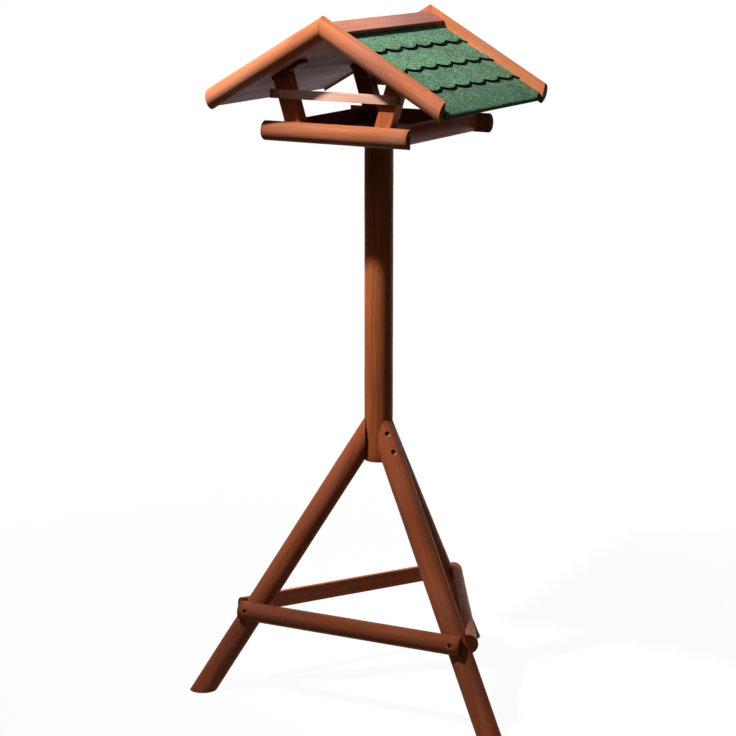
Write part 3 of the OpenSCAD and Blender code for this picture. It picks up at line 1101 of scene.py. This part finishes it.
@dataclass
class House:
    """The leaning supports, the pale boards across them and the cleats under the roof."""

    finishes: Finishes
    corners: tuple[str, ...] = ("front_left", "front_right", "back_left", "back_right")
    # Darker back supports and cleats, which sit in the roof's shade: painted shade.
    support_tones: tuple[float, ...] = (1.0, 1.0, 0.5, 0.5)
    cleat_tone: float = 0.42
    # The cross boards' darkened ends are partly stain soaked in at the ends, partly painted shadow.
    board_soaked: float = 50 * MM

    def build(self, nodes: dict[str, bpy.types.Object]) -> None:
        """Makes the supports, cross boards, cleats and their screws.

        Args:
            nodes: The CAD nodes' objects by name.
        """
        batten = self.finishes.batten
        screws = ScrewSet("board_screws", self.finishes.stained_steel)
        bores = [(head, axis) for head, axis, _ in screws.places(nodes)]
        for corner, tone in zip(self.corners, self.support_tones):
            Timber("support_" + corner, Cut.BOARD, batten, Slot.BATTEN, ring_step=8 * MM,
                   pith_off=22 * MM, tone=tone, bores=bores).build(nodes)
            Timber("cleat_" + corner, Cut.BOARD, batten, Slot.BATTEN, ease=0.6 * MM,
                   ring_step=8 * MM, pith_off=30 * MM, tone=self.cleat_tone).build(nodes)
        for end in ("front", "back"):
            Timber("cross_board_" + end, Cut.BOARD, self.finishes.board, Slot.BATTEN,
                   ease=0.7 * MM, ring_step=8 * MM, pith_off=18 * MM, soaked=self.board_soaked,
                   bores=bores).build(nodes)
        screws.build(nodes)


@dataclass(frozen=True)
class Slope:
    """The plane frame of one slope: distance down it from the peak, height square to it."""

    side: Side
    peak: Vector
    pitch: float

    def point(self, down: float, height: float, y: float) -> Vector:
        """Finds a place in the slope's frame.

        Args:
            down: The distance from the peak down the slope.
            height: The height square to it.
            y: Where along the roof.

        Returns:
            The place in the scene.
        """
        run = down * math.cos(self.pitch) + height * math.sin(self.pitch)
        rise = height * math.cos(self.pitch) - down * math.sin(self.pitch)
        return Vector((self.peak.x + self.side.value * run, y, self.peak.z + rise))


@dataclass
class Shingles:
    """Four strips of felt on a slope, each over the next, with scalloped lower edges."""

    finishes: Finishes
    slope: Slope
    lows: tuple[float, ...] = (90.5 * MM, 148.5 * MM, 206.5 * MM, 270 * MM)
    # Brightness of each course, from the ridge to the eave: painted light and shade.
    tones: tuple[float, ...] = (1.10, 1.05, 0.97, 0.79)
    panel_depth: float = 21.5 * MM
    panel_end: float = 264 * MM
    side_gap: float = 0.3 * MM
    tuck: float = 26 * MM
    top_gap: float = 1 * MM
    # Thickness
    thick: float = 4.7 * MM
    thin: float = 0.9 * MM
    first_dip: float = 0.8 * MM
    first_full: float = 60 * MM
    first_rise: float = 38 * MM
    eave_taper: float = 2.6 * MM
    droop: float = 2.4 * MM
    lifted_tip: float = 1.2 * MM
    lifted_run: float = 22 * MM
    slow_dip: float = 0.35 * MM
    quick_dip: float = 0.16 * MM
    edge_round: float = 0.5 * MM
    edge_round_run: float = 1 * MM
    # Lower edges
    scallop: float = 51.8 * MM
    scallop_deep: float = 9.0 * MM
    scallop_bow: float = 0.8
    notch_y: tuple[float, ...] = (16 * MM, -6 * MM, 17 * MM)
    rough_edge: float = 0.5 * MM
    rough_scale: float = 260.0
    eave_rough: float = 2.2
    eave_back: float = 1.2 * MM
    corner_cut: float = 13 * MM
    corner_run: float = 48 * MM
    tag_drop: float = 5 * MM
    tag_run: float = 9 * MM
    # Mesh
    column: float = 1.6 * MM
    rows: int = 26
    row_crowding: float = 1.7
    under_rows: tuple[float, ...] = (0.0, 0.35, 1.0)

    def edge(self, course: int, y: float, gap: float) -> float:
        """Returns how far down the slope a course reaches.

        Args:
            course: Its number from the ridge down, from 1.
            y: Where along the roof, from its middle.
            gap: How far that is from the felt's end at the back verge.

        Returns:
            The distance from the peak down the slope.
        """
        low = self.lows[course - 1]
        spot = Vector((y * self.rough_scale, course * 7.3, self.slope.side.value))
        ragged = self.rough_edge * noise.noise(spot)
        if course == len(self.lows):
            corner = max(0.0, 1.0 - gap / self.corner_run) ** 1.6 * self.corner_cut
            return low - self.eave_back + ragged * self.eave_rough - corner
        turn = (y - self.notch_y[course - 1]) / self.scallop
        notch = self.scallop_deep * (1.0 - abs(math.sin(math.pi * turn)) ** self.scallop_bow)
        tag = max(0.0, 1.0 - gap / self.tag_run) ** 0.7
        return low - notch * (1.0 - tag) + self.tag_drop * tag + ragged - self.rough_edge

    def top(self, course: int, down: float, start: float) -> float:
        """Finds the height of a course's upper face over the panel.

        Args:
            course: Its number from the ridge down, from 1.
            down: The distance from the peak down the slope.
            start: Where the course comes out from under the one above.

        Returns:
            The height.
        """
        if course == 1:
            full = down < self.first_full
            share = 1.0 if full else (self.lows[0] - down) / self.first_rise
            return self.thick - self.first_dip * share
        share = (down - start) / (self.lows[course - 1] - start)
        if share <= 0:
            return self.thin * (1.0 + 0.3 * share)
        taper = self.eave_taper * share ** 3 if course == len(self.lows) else 0.0
        return self.thin + (self.thick - self.thin) * share - taper

    def sag(self, down: float) -> float:
        """Returns how far the felt droops past the panel's end."""
        past = max(0.0, down - self.panel_end) / (self.lows[-1] - self.panel_end)
        return self.droop * past ** 2

    def dip(self, course: int, y: float, down: float, reach: float) -> float:
        """Finds how far the upper face lies under its plain height.

        Args:
            course: The course's number from the ridge down, from 1.
            y: Where along the roof, from its middle.
            down: The distance from the peak down the slope.
            reach: How far down the course reaches there.

        Returns:
            The depth of the felt's waves and of its rounded lower edge.
        """
        slow = noise.noise(Vector((y * 24, down * 30, course)))
        quick = noise.noise(Vector((y * 210, down * 210, course)))
        rounded = max(0.0, 1 - (reach - down) / self.edge_round_run) ** 2
        return (self.slow_dip * (0.5 + 0.5 * slow) + self.quick_dip * (0.5 + 0.5 * quick)
                + self.edge_round * rounded)

    def section(self, course: int, y: float, gap: float, start: float,
                first: float) -> list[tuple[float, float]]:
        """Draws a course's section down the slope.

        Args:
            course: Its number from the ridge down, from 1.
            y: Where along the roof, from its middle.
            gap: How far that is from the felt's end at the back verge.
            start: Where the course comes out from under the one above.
            first: Where its upper edge is.

        Returns:
            Distances down the slope and heights over the panel, down the upper face and back
            up the lower one.
        """
        reach = self.edge(course, y, gap)
        tip = self.lifted_tip if course < len(self.lows) else 0.0
        ring = []
        for row in range(self.rows + 1):
            share = 1 - (1 - row / self.rows) ** self.row_crowding
            down = first + (reach - first) * share
            ring.append((down, self.top(course, down, start) - self.dip(course, y, down, reach)))
        for share in self.under_rows:
            down = reach + (first - reach) * share - (self.edge_round if share == 0 else 0)
            lift = tip * max(0.0, 1 - (reach - down) / self.lifted_run)
            ring.append((down, min(lift, self.top(course, down, start) - self.edge_round)))
        return ring

    def build_course(self, course: int, nodes: dict[str, bpy.types.Object]) -> None:
        """Makes one course as a closed sheet.

        Args:
            course: Its number from the ridge down, from 1.
            nodes: Not used.
        """
        node = f"course_{self.slope.side.word}_{course}"
        low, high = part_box(node)
        middle = (low.y + high.y) / 2
        half = (high.y - low.y) / 2 - self.side_gap
        if course > 1:
            start = self.lows[course - 2]
            first = start - self.tuck
        else:
            start = self.panel_depth * math.tan(self.slope.pitch)
            first = start + self.top_gap
        count = int(2 * half / self.column)
        bm = bmesh.new()
        rim = bm.faces.layers.int.new("rim")
        columns = []
        for i in range(count + 1):
            y = -half + 2 * half * i / count
            columns.append([bm.verts.new(self.slope.point(
                down, height - self.sag(down) - self.panel_depth, middle + y))
                for down, height in self.section(course, y, half - y, start, first)])
        around = len(columns[0])
        # The lower edge shows bitumen where it is cut, but slate at the eave.
        cut_from = self.rows + (course == len(self.lows))
        for a, b in zip(columns, columns[1:]):
            for k in range(around):
                j = (k + 1) % around
                bm.faces.new((a[k], b[k], b[j], a[j]))[rim] = 1 if k >= cut_from else 0
        for ring, flip in ((columns[0], 1), (columns[-1], -1)):
            bm.faces.new(ring[::flip])[rim] = 1
        bmesh.ops.recalc_face_normals(bm, faces=bm.faces)
        marks = {"felt_rim": ("FLOAT", "FACE", [float(face[rim]) for face in bm.faces]),
                 "tone": ("FLOAT", "POINT", [self.tones[course - 1]] * len(bm.verts))}
        piece(node + "_felt", bm, self.finishes.felt, [node], marks, sharp_from=50)

    def build(self, nodes: dict[str, bpy.types.Object]) -> None:
        """Makes the courses from the eave up."""
        for course in range(len(self.lows), 0, -1):
            self.build_course(course, nodes)


@dataclass
class Roof:
    """Two panels under shingles and ridge boards, between half-round verge rails."""

    finishes: Finishes
    pitch: float = 29.5
    # How far the panels darken towards their ends: painted shade.
    panel_soaked: float = 70 * MM
    verge_ease: float = 0.3 * MM
    verge_soaked: float = 3 * MM
    verge_unevenness: float = 0.25 * MM
    # Brighter verges and a darker front right one: painted light and shade.
    verge_tone: float = 1.13
    front_right_tone: float = 0.92

    def build(self, nodes: dict[str, bpy.types.Object]) -> None:
        """Makes both slopes.

        Args:
            nodes: The CAD nodes' objects by name.
        """
        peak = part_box("verge_front_left")[1]
        for side in Side:
            # Panels darkened towards their ends and near black on all but their undersides: painted
            # shade.
            Timber("roof_panel_" + side.word, Cut.BOARD, self.finishes.panel, Slot.PANEL,
                   ease=0.5 * MM, pith_off=90 * MM, soaked=self.panel_soaked,
                   washed_below=True).build(nodes)
            Timber("ridge_board_" + side.word, Cut.BOARD, self.finishes.ridge, Slot.RIDGE,
                   ease=0.8 * MM, ring_step=10 * MM, pith_off=25 * MM).build(nodes)
            for end in ("front", "back"):
                # The front right verge takes its painted shade.
                darker = (end, side) == ("front", Side.RIGHT)
                Timber(f"verge_{end}_{side.word}", Cut.HALF, self.finishes.rail, Slot.LOG,
                       ease=self.verge_ease, ring_step=8 * MM, pith_off=3 * MM,
                       soaked=self.verge_soaked, unevenness=self.verge_unevenness,
                       tone=self.front_right_tone if darker else self.verge_tone).build(nodes)
            Shingles(self.finishes, Slope(side, peak, math.radians(self.pitch))).build(nodes)


# ---------------------------------------------------------------- studio


@dataclass(frozen=True)
class Lamp:
    """A round lamp, whose place and aim are from the foot of the post's middle line."""

    name: str
    at: Place
    aim: Place
    size: float
    power: float
    spread: float = 180.0

    def hang(self, foot: Vector) -> None:
        """Hangs the lamp.

        Args:
            foot: The foot of the post's middle line.
        """
        data = bpy.data.lights.new(self.name, "AREA")
        data.shape, data.size, data.energy = "DISK", self.size, self.power
        data.spread = math.radians(self.spread)
        made = bpy.data.objects.new(self.name, data)
        made.location = foot + Vector(self.at)
        way = Vector(self.at) - Vector(self.aim)
        made.rotation_euler = way.to_track_quat("Z", "Y").to_euler()
        bpy.context.scene.collection.objects.link(made)


@dataclass
class Studio:
    """The camera, the lamps, the white surround and the floor."""

    foot: Vector
    aim: Place = (-0.0214, 0.0, 0.5872)
    azimuth: float = 29.98
    elevation: float = 13.04
    distance: float = 3.64685
    lens: float = 102.43
    lamps: tuple[Lamp, ...] = (
        Lamp("key", (-0.55, -0.98, 2.42), (0.0, 0.0, 1.15), 0.10, 7.2, 70.0),
        Lamp("soft", (0.0, -1.9, 2.6), (0.0, 0.0, 0.6), 1.6, 3.4),
        Lamp("low", (0.5, 2.3, 0.2), (0.0, 0.0, 1.0), 1.2, 6.5),
        Lamp("rear", (-2.1, 2.1, 1.6), (0.0, 0.0, 0.7), 1.6, 9.0))
    fill: float = 0.009
    floor_half: float = 6.0
    floor_gap: float = 0.2 * MM
    floor_bounce: float = 0.32
    floor_lit: float = 0.10
    floor_glow: float = 0.955
    floor_fade: tuple[float, float] = (0.5, 1.5)

    def camera(self) -> None:
        """Sets up the camera."""
        a, e = math.radians(self.azimuth), math.radians(self.elevation)
        away = Vector((math.sin(a) * math.cos(e), -math.cos(a) * math.cos(e), math.sin(e)))
        data = bpy.data.cameras.new("view")
        data.lens, data.sensor_width, data.clip_end = self.lens, 36.0, 60.0
        made = bpy.data.objects.new("view", data)
        made.location = self.foot + Vector(self.aim) + away * self.distance
        made.rotation_euler = away.to_track_quat("Z", "Y").to_euler()
        bpy.context.scene.collection.objects.link(made)
        bpy.context.scene.camera = made

    @staticmethod
    def seen(tree: bpy.types.NodeTree) -> Socket:
        """Tells the rays that show a surround from the rays that light with it.

        Args:
            tree: The tree to add nodes to.

        Returns:
            1 for a ray from the camera, off a mirror or through glass, and 0 for the others.
        """
        path = tree.nodes.new("ShaderNodeLightPath")
        total: Socket = path.outputs["Is Camera Ray"]
        for name in ("Is Glossy Ray", "Is Transmission Ray"):
            most = tree.nodes.new("ShaderNodeMath")
            most.operation = "MAXIMUM"
            tree.links.new(total, most.inputs[0])
            tree.links.new(path.outputs[name], most.inputs[1])
            total = most.outputs[0]
        return total

    def surround(self) -> None:
        """Makes the world white to look at and a weak fill to light with."""
        world = bpy.data.worlds.new("surround")
        bpy.context.scene.world = world
        world.use_nodes = True
        tree = world.node_tree
        back = tree.nodes["Background"]
        back.inputs["Color"].default_value = (1.0, 1.0, 1.0, 1.0)
        level = tree.nodes.new("ShaderNodeMapRange")
        tree.links.new(self.seen(tree), level.inputs[0])
        level.inputs[3].default_value = self.fill
        tree.links.new(level.outputs[0], back.inputs["Strength"])

    def floor_finish(self) -> Material:
        """Makes the floor's finish, which fades into the surround.

        Returns:
            The material.
        """
        g = Graph("pale_floor")
        plain = g.node("BsdfDiffuse")
        g.feed(plain.inputs[0], (self.floor_bounce,) * 3)
        lit = g.node("BsdfDiffuse")
        g.feed(lit.inputs[0], (self.floor_lit,) * 3)
        glow = g.node("Emission")
        g.feed(glow.inputs[1], self.floor_glow)
        both = g.node("AddShader")
        g.feed(both.inputs[0], lit.outputs[0])
        g.feed(both.inputs[1], glow.outputs[0])
        white = g.node("Emission")
        g.feed(white.inputs[1], 1.0)
        reach = g.vector("LENGTH", g.place(), (0.0, 0.0, 0.0)).outputs["Value"]
        fade = g.node("MixShader")
        g.feed(fade.inputs[0], g.span(reach, *self.floor_fade))
        g.feed(fade.inputs[1], both.outputs[0])
        g.feed(fade.inputs[2], white.outputs[0])
        pick = g.node("MixShader")
        g.feed(pick.inputs[0], self.seen(g.tree))
        g.feed(pick.inputs[1], plain.outputs[0])
        g.feed(pick.inputs[2], fade.outputs[0])
        g.feed(g.node("OutputMaterial").inputs[0], pick.outputs[0])
        return g.material

    def floor(self) -> None:
        """Lays a pale floor that keeps the feeder's shadow."""
        bm = bmesh.new()
        h = self.floor_half
        bm.faces.new([bm.verts.new((x, y, -self.floor_gap))
                      for x, y in ((-h, -h), (h, -h), (h, h), (-h, h))])
        mesh = bpy.data.meshes.new("studio_floor")
        bm.to_mesh(mesh)
        bm.free()
        mesh.materials.append(self.floor_finish())
        made = bpy.data.objects.new("studio_floor", mesh)
        bpy.context.scene.collection.objects.link(made)

    def build(self) -> None:
        """Sets up the whole studio."""
        self.camera()
        for lamp in self.lamps:
            lamp.hang(self.foot)
        self.surround()
        self.floor()
        bpy.context.scene.view_settings.view_transform = "Standard"


def corners(box: Sequence[Vector]) -> list[list[float]]:
    """Returns a box as plain lists of numbers."""
    return [[float(c) for c in corner] for corner in box]


def main() -> None:
    """Builds the feeder and its studio in order."""
    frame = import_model()
    low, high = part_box("post")
    Studio(Vector(((low.x + high.x) / 2, (low.y + high.y) / 2, 0.0))).build()
    finishes = Finishes()
    for assembly in (Stand(finishes), Tray(finishes), House(finishes), Roof(finishes)):
        assembly.build(frame["nodes"])
        LOG.info("%s built", type(assembly).__name__)


if __name__ == "__main__":
    logging.basicConfig(level=logging.INFO, format="%(message)s")
    main()
